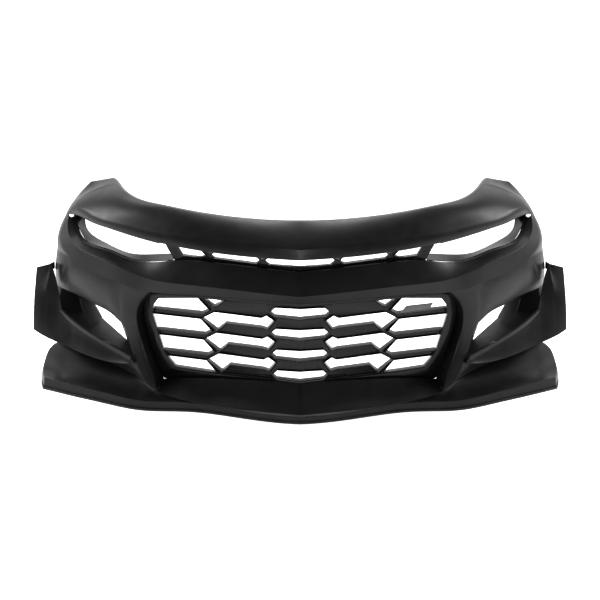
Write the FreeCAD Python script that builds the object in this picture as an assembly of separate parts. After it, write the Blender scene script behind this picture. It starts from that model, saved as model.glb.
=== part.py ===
"""Front bumper cover with splitter, canards, grilles, duct liners and fasteners.

Millimetres. +X to the side, -Y to the front, +Z up. Style lines are given for the +X half,
with y measured back from the front-most edge, and are mirrored for the other half.
"""

import FreeCAD
import Part
import math
import os

V = FreeCAD.Vector

# Overall
DEPTH = 660.0

# Walls
SKIN = 3.2
PANEL = 3.0
LINER = 2.5
CANARD = 5.0
BEZEL = 2.5

# How finely the style lines are followed
ALONG = 9
TOLERANCE = 0.02

DECK = 3.5
BLADE_T = 8.0

# Grilles
PLAN_SLOPE = 0.345
GRILLE_Y = 122.0
GRILLE_DEPTH = 30.0
FRAME_DEPTH = 34.0
CELL_PITCH = 76.0
FLARE_X = 2.0
FLARE_Z = 5.0
UPPER_Y = 104.0
UPPER_DEPTH = 16.0

# Fasteners
SCREW_R = 3.0
SCREW_HEAD_R = 6.5
SCREW_HEAD_H = 3.2
PIN_R = 4.0
PIN_L = 14.0
FENDER_HOLE_R = 3.3
NUT_R = 5.5
NUT_H = 5.0

# Corners of the cover's quilt of panels
COVER_CORNERS = {
    "h0": (0, 170, 670),
    "h1": (655, 540, 708),
    "h2": (689, 640, 710),
    "n0": (0, 70, 596),
    "n1": (814, 550, 644),
    "wo": (773, 660, 691),
    "t0": (0, 60, 562),
    "e3": (846, 561, 592),
    "b0": (0, 90, 512),
    "b1": (480, 258, 498),
    "b2": (606, 332, 489),
    "b3": (778, 462, 513),
    "e1": (835, 555, 582),
    "m0": (0, 40, 440),
    "m1": (501, 230, 441),
    "m2": (620, 294, 463),
    "m3": (783, 425, 496),
    "e2": (843, 559, 587),
    "l0": (0, 60, 409),
    "l1": (524, 243, 394),
    "l2": (624, 290, 409),
    "l3": (831, 460, 459),
    "p1": (576, 276, 272),
    "p2": (502, 180, 50),
    "f1": (631, 303, 259),
    "g1": (880, 524, 322),
    "r3": (912, 600, 335),
    "c0": (588, 262, 143),
    "g2": (877, 484, 252),
    "r4": (914, 596, 268),
    "s1": (842, 482, 97),
    "r5": (915, 580, 103),
    "r1": (872, 628, 560),
    "r2": (903, 608, 450),
}

# Style lines of the cover: each runs through named corners and the points between them
COVER_LINES = (
    (
        "h0", (217, 214, 670), (406, 280, 682), (485, 320, 688), (566, 380, 692), (620, 450, 702),
        "h1", "h2",
    ),
    (
        "n0", (126, 98, 602), (288, 156, 606), (424, 213, 608), (553, 285, 616), (682, 375, 631),
        (745, 437, 637), "n1", (794, 592, 658), "wo",
    ),
    (
        "t0", (154, 97, 562), (349, 170, 566), (468, 228, 573), (590, 302, 585), (683, 368, 596),
        (744, 428, 599), (805, 510, 600), "e3",
    ),
    (
        "b0", (196, 150, 517), (342, 200, 518), (431, 235, 511), "b1", (540, 292, 487), "b2",
        (689, 392, 503), "b3", (806, 500, 532), (824, 536, 562), "e1",
    ),
    (
        "m0", (196, 106, 441), (338, 160, 441), (445, 205, 439), "m1", (560, 260, 450), "m2",
        (700, 350, 483), "m3", (828, 478, 518), (846, 523, 552), "e2",
    ),
    (
        "l0", (238, 140, 403), (430, 209, 398), "l1", (563, 257, 397), "l2", (685, 332, 417),
        (772, 400, 436), "l3", (858, 500, 490), (864, 528, 525), (857, 548, 560), "e3",
    ),
    ("l1", (552, 262, 362), (571, 273, 325), "p1", (560, 265, 205), (531, 230, 125), "p2"),
    ("p1", "f1", (664, 330, 280), (742, 395, 301), (822, 468, 317), "g1", "r3"),
    ("f1", (603, 282, 193), "c0", "p2"),
    ("c0", (672, 320, 168), (757, 384, 196), "g2", "r4"),
    ("p2", (579, 260, 75), (696, 360, 89), "s1", "r5"),
    (
        "wo", (815, 650, 650), (848, 640, 606), "r1", (891, 617, 507), "r2", (909, 602, 390), "r3",
        "r4", (916, 588, 180), "r5",
    ),
    ("n0", (0, 116, 635), "h0"),
    ("n1", (735, 547, 686), "h1"),
    ("e3", (833, 555, 621), "n1"),
    ("e3", (862, 598, 580), "r1"),
    ("l3", (880, 535, 458), "r2"),
    ("l3", (862, 490, 392), "g1"),
    ("l2", (637, 299, 335), "f1"),
    ("g1", (884, 506, 286), "g2"),
    ("g2", (868, 492, 175), "s1"),
)

# Panels of the cover, each by its four corners, with how far its middle stands out
COVER_QUADS = (
    ("n0", "n1", "h1", "h0", 3.0),
    ("n1", "wo", "h2", "h1", 3.0),
    ("t0", "e3", "n1", "n0", 2.0),
    ("m0", "m1", "b1", "b0", 0.0),
    ("m1", "m2", "b2", "b1", 0.0),
    ("m2", "m3", "b3", "b2", 0.0),
    ("m3", "e2", "e1", "b3", 0.0),
    ("l0", "l1", "m1", "m0", 0.0),
    ("l1", "l2", "m2", "m1", 0.0),
    ("l2", "l3", "m3", "m2", 0.0),
    ("l3", "e3", "e2", "m3", 0.0),
    ("e3", "r1", "wo", "n1", 3.0),
    ("l3", "r2", "r1", "e3", 3.0),
    ("p1", "f1", "l2", "l1", 2.0),
    ("f1", "g1", "l3", "l2", 5.0),
    ("g1", "r3", "r2", "l3", 3.0),
    ("p2", "c0", "f1", "p1", 3.0),
    ("g2", "r4", "r3", "g1", 0.0),
    ("p2", "s1", "g2", "c0", -4.0),
    ("s1", "r5", "r4", "g2", 0.0),
)

# Flanges of the cover: the corners an edge runs through, and how far it turns in at each
COVER_FLANGES = (
    (("h0", (0, 26, -5)), ("h1", (-4, 26, -5)), ("h2", (-6, 16, -5))),
    (("t0", (0, 26, 5)), ("e3", (-6, 20, 3))),
    (
        ("b0", (0, 12, -1)),
        ("b1", (0, 12, -1)),
        ("b2", (0, 18, 0)),
        ("b3", (-6, 18, 2)),
        ("e1", (-12, 16, 2)),
    ),
    (("l0", (0, 34, -3)), ("l1", (-10, 36, -3)), ("p1", (-20, 40, 0)), ("p2", (-14, 95, 4))),
    (("p2", (-14, 95, 4)), ("s1", (-14, 14, 4)), ("r5", (-18, -4, 4))),
)


# Chin panel, from the splitter up to the lower grille
CHIN_CORNERS = {
    "v0": (0, 12, 29),
    "v1": (495, 177, 47),
    "v2": (484, 268, 62),
    "v3": (0, 110, 109),
}
CHIN_LINES = (
    ("v0", (200, 60, 31), (392, 124, 36), (440, 144, 40), "v1"),
    ("v3", (245, 188, 95), (400, 241, 77), "v2"),
)
CHIN_QUADS = (("v0", "v1", "v2", "v3", -4.0),)
CHIN_FLANGES = ((("v3", (0, 2, -14)), ("v2", (0, 6, -12))),)

# Splitter deck: a lip in front, and a scoop on each side that rises to the cover
DECK_CORNERS = {
    "g0": (0, 4, 8.4),
    "g1": (392, 116, 8.4),
    "g2": (928, 332, 8.4),
    "x2": (905, 604, 10.5),
    "f0": (0, 6, 25),
    "f1": (392, 119, 31),
    "f2": (926, 336, 42),
    "d0": (0, 110, 24),
    "d1": (490, 190, 45),
    "d2": (898, 574, 99),
}
DECK_LINES = (
    (
        "g0", (200, 56, 8.4), "g1", (487, 121, 8.4), (540, 127, 8.4), (688, 194, 8.4),
        (808, 260, 8.4), "g2",
    ),
    (
        "f0", (200, 58, 27), "f1", (487, 124, 33), (540, 130, 33), (686, 198, 36), (806, 264, 39),
        "f2",
    ),
    ("d1", (571, 270, 71), (688, 374, 85), (834, 496, 92), "d2"),
    ("d0", (240, 150, 26), "d1"),
    ("f2", (941, 400, 48), (944, 470, 66), (932, 535, 90), "d2"),
    ("g2", (946, 400, 9), (950, 480, 9.5), (938, 550, 10), "x2"),
)
DECK_QUADS = (
    ("g0", "g1", "f1", "f0", 0.0),
    ("g1", "g2", "f2", "f1", 0.0),
    ("f0", "f1", "d1", "d0", 0.0),
    ("f1", "f2", "d2", "d1", -14.0),
    ("g2", "x2", "d2", "f2", 4.0),
)
DECK_FLANGES = ((("g0", (0, 30, 0)), ("g1", (-6, 30, 0)), ("g2", (-26, 22, 0))),)

# Splitter blade: the flat plate under the deck, in plan
BLADE_FRONT = (
    (0, 0), (200, 52), (392, 111), (487, 116), (540, 121), (690, 189), (810, 255), (932, 327)
)
BLADE_END = ((932, 327), (950, 400), (954, 480), (944, 555), (915, 612))
BLADE_REAR = ((915, 612), (760, 545), (560, 410), (300, 295), (0, 250))

# Canard, on the right
CANARD_CORNERS = {
    "tl": (592, 253, 148),
    "tm": (872, 474, 259),
    "tk": (915, 547, 408),
    "to": (961, 520, 401),
    "bl": (587, 246, 130),
    "bm": (868, 425, 137),
    "bk": (932, 465, 150),
    "bo": (984, 498, 169),
}
CANARD_LINES = (
    ("tl", (672, 316, 173), (757, 378, 201), "tm"),
    ("tm", (887, 507, 315), (899, 530, 366), "tk"),
    ("bl", (677, 298, 116), (780, 362, 122), "bm", "bk", "bo"),
    ("bk", (929, 506, 288), "tk"),
    ("bo", (978, 512, 280), "to"),
)
CANARD_QUADS = (
    ("bl", "bm", "tm", "tl", -4.0),
    ("bm", "bk", "tk", "tm", 0.0),
    ("bk", "bo", "to", "tk", 0.0),
)
CANARD_FLANGES = ((("tl", (4, 2, -12)), ("tm", (0, 3, -16))),)

# Duct liner behind the side opening, on the right
DUCT_CORNERS = {
    "a": (628, 308, 257),
    "b": (875, 527, 320),
    "c": (872, 488, 251),
    "d": (587, 269, 142),
    "ar": (660, 425, 250),
    "br": (800, 600, 300),
    "cr": (742, 520, 214),
    "dr": (628, 392, 166),
}
DUCT_LINES = (
    ("a", (661, 335, 278), (739, 400, 299), (819, 473, 315), "b"),
    ("d", (669, 326, 166), (754, 390, 194), "c"),
    ("a", (600, 288, 193), "d"),
    ("c", (880, 510, 286), "b"),
    ("ar", "br"),
    ("dr", "cr"),
)
DUCT_QUADS = (
    ("b", "a", "ar", "br", 0.0),
    ("d", "c", "cr", "dr", 0.0),
    ("c", "b", "br", "cr", -3.0),
    ("a", "d", "dr", "ar", 0.0),
)
VANE_CORNERS = {
    "vb": (762, 420, 215),
    "vt": (806, 480, 295),
    "wb": (728, 490, 219),
    "wt": (782, 556, 289),
}
VANE_LINES = (("vb", (790, 450, 256), "vt"), ("wb", (756, 524, 254), "wt"))
VANE_QUADS = (("vb", "vt", "wt", "wb", 0.0),)

# Headlamp bezel, on the right
BEZEL_CORNERS = {
    "j0": (438, 249, 510),
    "j1": (824, 570, 576),
    "i1": (830, 584, 587),
    "i0": (484, 254, 566),
    "k0": (438, 300, 518),
    "k1": (792, 604, 560),
    "o1": (796, 608, 572),
    "o0": (484, 304, 560),
}
BEZEL_LINES = (
    (
        "j0", (484, 271, 500), (540, 302, 490), (606, 344, 492), (689, 404, 507), (772, 478, 518),
        (796, 516, 540), "j1",
    ),
    (
        "k0", (486, 328, 509), (548, 352, 500), (604, 387, 495), (668, 440, 503), (722, 500, 511),
        (770, 552, 527), "k1",
    ),
    ("i0", (590, 318, 577), (683, 384, 588), (744, 446, 591), (796, 528, 592), "i1"),
    ("o0", (590, 362, 569), (683, 430, 578), (744, 492, 582), "o1"),
)
BEZEL_QUADS = (
    ("j0", "j1", "k1", "k0", 0.0),
    ("i1", "i0", "o0", "o1", 0.0),
    ("j1", "i1", "o1", "k1", 0.0),
)

# Grille openings on the swept plane: distance from the centre, height
CELL_DRIFT = 8.0
CELL_REACH = 340.0
CELL_CENTRE = ((-1, 367), (84, 363), (103, 348), (86, 335), (-1, 336))
CELL_INNER = (
    (342, 298), (297, 323), (134, 321), (117, 330), (90, 316), (114, 285), (133, 289), (257, 290),
    (288, 262),
)
CELL_OUTER = ((600, 367), (357, 367), (317, 332), (341, 318), (600, 316))
CELL_CORNER = ((332, 370), (265, 368), (297, 348))
GRILLE_OUTLINE = (
    (0, 379), (360, 371), (497, 355), (516, 330), (520, 296), (504, 238), (484, 165), (463, 130),
    (441, 106), (318, 103), (0, 105),
)
FRAME_Y = 118.0
FRAME_OUTER = (
    (0, 398), (430, 388), (535, 372), (552, 330), (553, 280), (541, 212), (503, 92), (487, 57),
    (444, 54), (284, 80), (0, 84),
)
FRAME_INNER = (
    (-1, 380), (360, 372), (498, 356), (517, 330), (521, 296), (505, 238), (485, 165), (464, 130),
    (442, 105), (318, 102), (-1, 104),
)
UPPER_OUTLINE = ((0, 503), (196, 508), (342, 508), (432, 503), (468, 567), (345, 566), (0, 562))
UPPER_CELLS = (
    ((420, 556), (345, 551), (324, 535), (340, 527), (403, 529)),
    ((291, 547), (156, 549), (137, 535), (148, 525), (290, 529), (302, 537)),
    ((101, 552), (-1, 556), (-1, 527), (101, 524), (118, 535)),
    ((317, 553), (292, 552), (305, 543)),
    ((145, 555), (104, 556), (128, 540)),
)
BADGE_OUTLINE = ((350, 320), (371, 343), (468, 343), (458, 326))
BADGE_T = 4.0

# Fender bracket behind the wheel arch edge, on the right, in plan
BRACKET_BEND = (893, 600)
BRACKET_FRONT = (874, 562)
BRACKET_FRONT_IN = (871, 563.5)
BRACKET_BEND_IN = (889.5, 600)
BRACKET_REACH = 36.0
BRACKET_BOTTOM = 345.0
BRACKET_TOP = 470.0
FENDER_HOLE_X = 872.0
FENDER_HOLE_Z = (375.0, 440.0)

# Canard stay, on the right, in plan
STAY_PLAN = ((911, 588), (914, 589), (924, 561), (921, 560))
CANARD_STANDOFF = (2.6, -1.8, 0)
STAY_BOTTOM = 378.0
STAY_HEIGHT = 26.0

# Fastener places, as shares of the way along their edges
SPLITTER_SCREW_U = (0.08, 0.26, 0.44, 0.6, 0.78, 0.94)
SPLITTER_SCREW_IN = 20.0
PIN_U = (0.12, 0.4, 0.68, 0.9)
PIN_OFFSET = (0, 14, -2)


def at(x, y, z):
    """A point in the part's frame, from its distance back from the front."""
    return V(x, y - DEPTH / 2, z)


def through(points):
    """The smooth curve through points, with its speed set by their spacing."""
    stops = [0.0]
    for first, second in zip(points, points[1:]):
        stops.append(stops[-1] + first.distanceToPoint(second))
    curve = Part.BSplineCurve()
    curve.interpolate(Points=points, Parameters=[stop / stops[-1] for stop in stops])
    return curve, [stop / stops[-1] for stop in stops]


def even(points):
    """The smooth curve through evenly spaced points, at even parameters."""
    curve = Part.BSplineCurve()
    last = len(points) - 1
    curve.interpolate(Points=points, Parameters=[i / last for i in range(last + 1)])
    return curve


def split_lines(corners, chains):
    """Each chain as lines between its neighbouring corners: {(a, b): evenly spaced points}."""
    lines = {}
    for chain in chains:
        points = [at(*corners.get(step, step)) for step in chain]
        curve, stops = through(points)
        marks = [(step, stop) for step, stop in zip(chain, stops) if step in corners]
        for (a, start), (b, end) in zip(marks, marks[1:]):
            piece = curve.copy()
            piece.segment(start, end)
            middle = piece.discretize(Number=ALONG)[1:-1]
            lines[a, b] = [at(*corners[a]), *middle, at(*corners[b])]
    return lines


def corner_of(lines, name):
    """Where a corner is, read from a line that ends there."""
    for (a, b), points in lines.items():
        if a == name:
            return points[0]
        if b == name:
            return points[-1]
    raise ValueError("no corner " + name)


def line_of(lines, a, b):
    """The points of a line, in the direction asked for. Corners with no line get a straight one."""
    if (b, a) in lines:
        return lines[b, a][::-1]
    if (a, b) not in lines:
        start = corner_of(lines, a)
        reach = corner_of(lines, b) - start
        lines[a, b] = [start + reach * (i / (ALONG - 1)) for i in range(ALONG)]
    return lines[a, b]


def coons(bottom, right, top, left, lift):
    """The surface inside four lines that meet end to end, with its middle moved by lift."""
    curves = [even(points).getPoles() for points in (bottom, right, top, left)]
    south, east, north, west = curves
    count = len(south)
    last = ALONG - 1
    knots = [0.0] * 4 + [i / last for i in range(1, last)] + [1.0] * 4
    greville = [sum(knots[i + 1 : i + 4]) / 3 for i in range(count)]
    poles = []
    for i, u in enumerate(greville):
        row = []
        for j, v in enumerate(greville):
            across = south[i] * (1 - v) + north[i] * v
            along = west[j] * (1 - u) + east[j] * u
            low = south[0] * (1 - u) + south[-1] * u
            high = north[0] * (1 - u) + north[-1] * u
            inside = 0 < i < count - 1 and 0 < j < count - 1
            bulge = lift * (4 * v * (1 - v)) * min(1.0, 8 * u * (1 - u)) if inside else V()
            row.append(across + along - low * (1 - v) - high * v + bulge)
        poles.append(row)
    ends = [4] + [1] * (last - 1) + [4]
    steps = [i / last for i in range(last + 1)]
    surface = Part.BSplineSurface()
    surface.buildFromPolesMultsKnots(poles, ends, ends, steps, steps, False, False, 3, 3)
    return surface


def ruled(first, second):
    """The surface ruled straight across from one line to another."""
    last = ALONG - 1
    ends = [4] + [1] * (last - 1) + [4]
    steps = [i / last for i in range(last + 1)]
    poles = [list(pair) for pair in zip(even(first).getPoles(), even(second).getPoles())]
    surface = Part.BSplineSurface()
    surface.buildFromPolesMultsKnots(poles, ends, [2, 2], steps, [0.0, 1.0], False, False, 3, 1)
    return surface


def add_flanges(lines, quads, flanges):
    """Turn free edges in: each flange adds its own corners, lines and panels."""
    panels = list(quads)
    edges = {(quad[i], quad[(i + 1) % 4]) for quad in quads for i in range(4)}
    for flange in flanges:
        for (a, turn_a), (b, turn_b) in zip(flange, flange[1:]):
            points = line_of(lines, a, b)
            last = len(points) - 1
            turns = [V(*turn_a) * (1 - i / last) + V(*turn_b) * (i / last) for i in range(ALONG)]
            lines[a + "_in", b + "_in"] = [point + turn for point, turn in zip(points, turns)]
            if (a, b) in edges:
                panels.append((b, a, a + "_in", b + "_in", 0.0))
            else:
                panels.append((a, b, b + "_in", a + "_in", 0.0))
    return panels


def line_name(lines, a, b):
    """The name a line is kept under, whichever way round it is asked for."""
    return (b, a) if (b, a) in lines else (a, b)


def panel_edges(quad):
    """A panel's four edges: along its bottom, up its right, along its top, up its left."""
    a, b, c, d = quad[:4]
    return ((a, b), (b, c), (d, c), (a, d))


def spot(point):
    """A key shared by corners that are at one place."""
    return tuple(round(value, 2) + 0.0 for value in point)


def edge_normals(lines, quads):
    """The panels' outward normals, gathered at each point of each line and at each corner."""
    places = (
        lambda t: (t, 0.001),
        lambda t: (0.999, t),
        lambda t: (t, 0.999),
        lambda t: (0.001, t),
    )
    at_lines = {}
    at_corners = {}
    for quad in quads:
        sides = [line_of(lines, a, b) for a, b in panel_edges(quad)]
        surface = coons(*sides, V())
        for (a, b), place in zip(panel_edges(quad), places):
            name = line_name(lines, a, b)
            steps = [i / (ALONG - 1) for i in range(ALONG)]
            found = [surface.normal(*place(min(max(t, 0.001), 0.999))) for t in steps]
            ends = line_of(lines, a, b)
            at_corners.setdefault(spot(ends[0]), []).append(found[0])
            at_corners.setdefault(spot(ends[-1]), []).append(found[-1])
            if name != (a, b):
                found.reverse()
            gathered = at_lines.setdefault(name, [[] for _ in range(ALONG)])
            for normals, normal in zip(gathered, found):
                normals.append(normal)
    return at_lines, at_corners


def mitre(normals, wall, on_mirror):
    """The step from a point on the outer skin to its partner on the inner skin."""
    total = V()
    for normal in normals:
        total = total + normal
    if on_mirror:
        total.x = 0
    total.normalize()
    lean = min(total.dot(normal) for normal in normals)
    return total * (-wall / max(lean, 0.6))


def inner_lines(lines, quads, wall, mirrored):
    """The lines of the inner skin. What a corner's mitre adds fades out evenly along each line."""
    at_lines, at_corners = edge_normals(lines, quads)
    deep = {}
    for (a, b), gathered in at_lines.items():
        points = lines[a, b]
        flat = [mirrored and abs(point.x) < TOLERANCE for point in points]
        steps = [mitre(normals, wall, on_mirror) for normals, on_mirror in zip(gathered, flat)]
        start = mitre(at_corners[spot(points[0])], wall, flat[0]) - steps[0]
        end = mitre(at_corners[spot(points[-1])], wall, flat[-1]) - steps[-1]
        deep[a, b] = [
            point + step + start * (1 - i / (ALONG - 1)) + end * (i / (ALONG - 1))
            for i, (point, step) in enumerate(zip(points, steps))
        ]
    return deep


def free_lines(lines, quads):
    """The names of the lines that only one panel uses."""
    used = {}
    for quad in quads:
        for a, b in panel_edges(quad):
            name = line_name(lines, a, b)
            used[name] = used.get(name, 0) + 1
    return [name for name, count in used.items() if count == 1]


def thick_quilt(lines, quads, wall, mirrored=True):
    """A closed solid: panels over the lines, the same panels one wall behind, and the rims.

    Each panel's corners run anticlockwise seen from its outer face. With mirrored, the lines
    are one half and the other is its reflection in the YZ plane.
    """
    deep = inner_lines(lines, quads, wall, mirrored)
    faces = []
    for quad in quads:
        outer = [line_of(lines, a, b) for a, b in panel_edges(quad)]
        inner = [line_of(deep, a, b) for a, b in panel_edges(quad)]
        lift = coons(*outer, V()).normal(0.5, 0.5) * quad[4]
        faces.append(coons(*outer, lift).toShape())
        faces.append(coons(*inner, lift).toShape())
    for name in free_lines(lines, quads):
        if mirrored and all(abs(point.x) < TOLERANCE for point in lines[name]):
            continue
        faces.append(ruled(lines[name], deep[name]).toShape())
    if mirrored:
        faces += [face.mirror(V(), V(1, 0, 0)) for face in faces]
    return solid_from(faces)


def solid_from(faces):
    """Sew faces that meet edge to edge into one closed solid."""
    sewn = Part.makeShell([face for shape in faces for face in shape.Faces])
    sewn.sewShape(0.05)
    if len(sewn.Shells) != 1 or not sewn.Shells[0].isClosed():
        raise ValueError("the faces don't close")
    solid = Part.makeSolid(sewn.Shells[0])
    return solid if solid.Volume > 0 else solid.reversed()


def other_side(shape):
    """The left-hand piece for a right-hand one."""
    return shape.mirror(V(), V(1, 0, 0))


def swept_outline(points, front, lift=0.0):
    """A closed wire in the upright plane that sweeps back from the centre by PLAN_SLOPE."""
    corners = [at(x, front + PLAN_SLOPE * x, z + lift) for x, z in points]
    return Part.makePolygon(corners + corners[:1])


def swept_plate(outline, front, depth):
    """Half a grille: an outline on the swept plane, given its depth straight back."""
    return Part.Face(swept_outline(outline, front)).extrude(V(0, depth, 0))


def flared_hole(outline, front, depth):
    """A hole through a grille that is a little larger at its front."""
    low = min(z for _, z in outline)
    high = max(z for _, z in outline)
    near = min(x for x, _ in outline)
    far = max(x for x, _ in outline)
    wide = 1 + 2 * FLARE_X / (far - near)
    tall = 1 + 2 * FLARE_Z / (high - low)
    middle_x = (near + far) / 2
    middle_z = (low + high) / 2
    mouth = [
        (middle_x + (x - middle_x) * wide, middle_z + (z - middle_z) * tall) for x, z in outline
    ]
    wires = [
        swept_outline(mouth, front - 1),
        swept_outline(outline, front + depth * 0.7),
        swept_outline(outline, front + depth + 1),
    ]
    return Part.makeLoft(wires, True, True)


def both_halves(half):
    """A half joined to its reflection across the YZ plane."""
    return half.fuse(other_side(half)).removeSplitter()


def cover():
    lines = split_lines(COVER_CORNERS, COVER_LINES)
    quads = add_flanges(lines, COVER_QUADS, COVER_FLANGES)
    body = thick_quilt(lines, quads, SKIN)
    return body.cut(Part.makeCompound(pin_bores()))


def chin_panel():
    lines = split_lines(CHIN_CORNERS, CHIN_LINES)
    quads = add_flanges(lines, CHIN_QUADS, CHIN_FLANGES)
    return thick_quilt(lines, quads, PANEL)


def splitter_deck():
    lines = split_lines(DECK_CORNERS, DECK_LINES)
    quads = add_flanges(lines, DECK_QUADS, DECK_FLANGES)
    return thick_quilt(lines, quads, DECK).cut(Part.makeCompound(splitter_bores()))


def splitter_blade():
    edge, _ = through([at(x, y, 0) for x, y in BLADE_FRONT])
    end, _ = through([at(x, y, 0) for x, y in BLADE_END])
    rear, _ = through([at(x, y, 0) for x, y in BLADE_REAR])
    centre = Part.makeLine(at(*BLADE_REAR[-1], 0), at(*BLADE_FRONT[0], 0))
    wire = Part.Wire([edge.toShape(), end.toShape(), rear.toShape(), centre])
    half = Part.Face(wire).extrude(V(0, 0, BLADE_T))
    return both_halves(half).cut(Part.makeCompound(splitter_bores()))


def canard():
    lines = split_lines(CANARD_CORNERS, CANARD_LINES)
    quads = add_flanges(lines, CANARD_QUADS, CANARD_FLANGES)
    body = thick_quilt(lines, quads, CANARD, False)
    body.translate(V(*CANARD_STANDOFF))
    return body


def duct_liner():
    lines = split_lines(DUCT_CORNERS, DUCT_LINES)
    return thick_quilt(lines, DUCT_QUADS, LINER, False)


def duct_vane():
    return thick_quilt(split_lines(VANE_CORNERS, VANE_LINES), VANE_QUADS, LINER, False)


def headlamp_bezel():
    return thick_quilt(split_lines(BEZEL_CORNERS, BEZEL_LINES), BEZEL_QUADS, BEZEL, False)


def lower_cells():
    """The lower grille's openings: three columns a pitch apart, the middle one offset by half."""
    cells = [CELL_CORNER]
    for row in range(4):
        drop = CELL_PITCH * row
        drift = CELL_DRIFT * row / CELL_REACH
        columns = (CELL_CENTRE, CELL_OUTER, CELL_INNER)[: 3 if row < 3 else 2]
        for column in columns:
            cells.append([(x - drift * max(x, 0), z - drop) for x, z in column])
    return cells


def lower_grille():
    plate = swept_plate(GRILLE_OUTLINE, GRILLE_Y, GRILLE_DEPTH)
    holes = [flared_hole(cell, GRILLE_Y, GRILLE_DEPTH) for cell in lower_cells()]
    return both_halves(plate.cut(Part.makeCompound(holes)))


def grille_frame():
    ring = swept_plate(FRAME_OUTER, FRAME_Y, FRAME_DEPTH)
    hole = swept_plate(FRAME_INNER, FRAME_Y - 1, FRAME_DEPTH + 2)
    return both_halves(ring.cut(hole))


def upper_grille():
    plate = swept_plate(UPPER_OUTLINE, UPPER_Y, UPPER_DEPTH)
    holes = [flared_hole(cell, UPPER_Y, UPPER_DEPTH) for cell in UPPER_CELLS]
    return both_halves(plate.cut(Part.makeCompound(holes)))


def grille_badge():
    """A blank plate that stands on the front of the lower grille's top outer bar."""
    return swept_plate(BADGE_OUTLINE, GRILLE_Y - BADGE_T - 0.2, BADGE_T)


def fender_bracket():
    """An angle bracket at the wheel arch: one leg along the skin, one across with two holes."""
    outline = (BRACKET_BEND, BRACKET_FRONT, BRACKET_FRONT_IN, BRACKET_BEND_IN, BRACKET_BEND)
    leg = Part.makePolygon([at(x, y, 0) for x, y in outline])
    height = V(0, 0, BRACKET_TOP - BRACKET_BOTTOM)
    upright = Part.Face(leg).extrude(height)
    across = Part.makeBox(
        BRACKET_REACH,
        PANEL,
        height.z,
        at(BRACKET_BEND[0] - BRACKET_REACH, BRACKET_BEND[1] - PANEL, 0),
    )
    bracket = upright.fuse(across).removeSplitter()
    bracket.translate(V(0, 0, BRACKET_BOTTOM))
    places = [at(FENDER_HOLE_X, BRACKET_BEND[1], z) for z in FENDER_HOLE_Z]
    holes = [bore(place, V(0, 1, 0), FENDER_HOLE_R, 2 * PANEL) for place in places]
    return bracket.cut(Part.makeCompound(holes))


def canard_stay():
    """A strip from the cover's side to the back of the canard's upper corner."""
    foot = [at(x, y, STAY_BOTTOM) for x, y in STAY_PLAN]
    return Part.Face(Part.makePolygon(foot + foot[:1])).extrude(V(0, 0, STAY_HEIGHT))


def bore(place, out, radius, length):
    """A cutter centred on a surface at place."""
    return Part.makeCylinder(radius, 2 * length, place - out * length, out)


def on_both_sides(shapes):
    return shapes + [other_side(shape) for shape in shapes]


def pin_places():
    """Where the push pins through the top flange sit, on the +X half."""
    lines = split_lines(COVER_CORNERS, COVER_LINES)
    edge = even(line_of(lines, "h0", "h1"))
    return [edge.value(u) + V(*PIN_OFFSET) for u in PIN_U]


def pin_bores():
    up = V(0, 0, 1)
    return on_both_sides([bore(place, up, PIN_R + 0.2, PIN_L) for place in pin_places()])


def splitter_places():
    """Where the splitter's screws come up from below, on the +X half."""
    edge, _ = through([at(x, y, 0) for x, y in BLADE_FRONT])
    return [edge.value(u) + V(-4, SPLITTER_SCREW_IN, 0) for u in SPLITTER_SCREW_U]


def splitter_screw(place):
    """A countersunk screw flush with the underside, with its washer nut above the flange."""
    up = V(0, 0, 1)
    cone = Part.makeCone(SCREW_HEAD_R, SCREW_R, SCREW_HEAD_H, place + up * 0.4, up)
    shank = Part.makeCylinder(SCREW_R, BLADE_T + DECK + NUT_H + 2, place + up * 0.4, up)
    socket = Part.makeCylinder(SCREW_R * 0.6, 2.0, place, up)
    return cone.fuse(shank).cut(socket)


def splitter_bores():
    up = V(0, 0, 1)
    bores = []
    for place in splitter_places():
        shank = bore(place, up, SCREW_R + 0.2, 2 * BLADE_T + DECK)
        seat = Part.makeCone(SCREW_HEAD_R + 0.9, SCREW_R + 0.2, SCREW_HEAD_H + 0.8, place, up)
        bores += [shank, seat]
    return on_both_sides(bores)


def splitter_screws():
    return Part.makeCompound(on_both_sides([splitter_screw(place) for place in splitter_places()]))


def splitter_nuts():
    """Hexagon nuts that clamp the deck's lower flange to the blade."""
    nuts = []
    for place in splitter_places():
        base = place + V(0, 0, BLADE_T + DECK + 1.3)
        turns = [math.radians(60 * i) for i in range(7)]
        ring = [base + V(math.cos(turn), math.sin(turn), 0) * NUT_R for turn in turns]
        body = Part.Face(Part.makePolygon(ring)).extrude(V(0, 0, NUT_H))
        nuts.append(body.cut(bore(base, V(0, 0, 1), SCREW_R + 0.1, 3 * NUT_H)))
    return Part.makeCompound(on_both_sides(nuts))


def sided(name, make):
    """A right-hand piece and its reflection, as two nodes."""
    return ((name + "_right", make), (name + "_left", lambda: other_side(make())))


PARTS = (
    ("fascia", cover),
    ("chin_panel", chin_panel),
    ("splitter_deck", splitter_deck),
    ("splitter_blade", splitter_blade),
    ("upper_grille", upper_grille),
    ("lower_grille", lower_grille),
    ("grille_frame", grille_frame),
    ("grille_badge", grille_badge),
    *sided("headlamp_bezel", headlamp_bezel),
    *sided("duct_liner", duct_liner),
    *sided("duct_vane", duct_vane),
    *sided("canard", canard),
    *sided("canard_stay", canard_stay),
    *sided("fender_bracket", fender_bracket),
    ("splitter_screws", splitter_screws),
    ("splitter_nuts", splitter_nuts),
)

os.makedirs("parts", exist_ok=True)
for part_name, make in PARTS:
    shape = make()
    shape.exportStep("parts/" + part_name + ".step")
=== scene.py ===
"""The front bumper cover, rebuilt on the CAD frame as smooth moulded panels and grilles."""
import math

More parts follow.
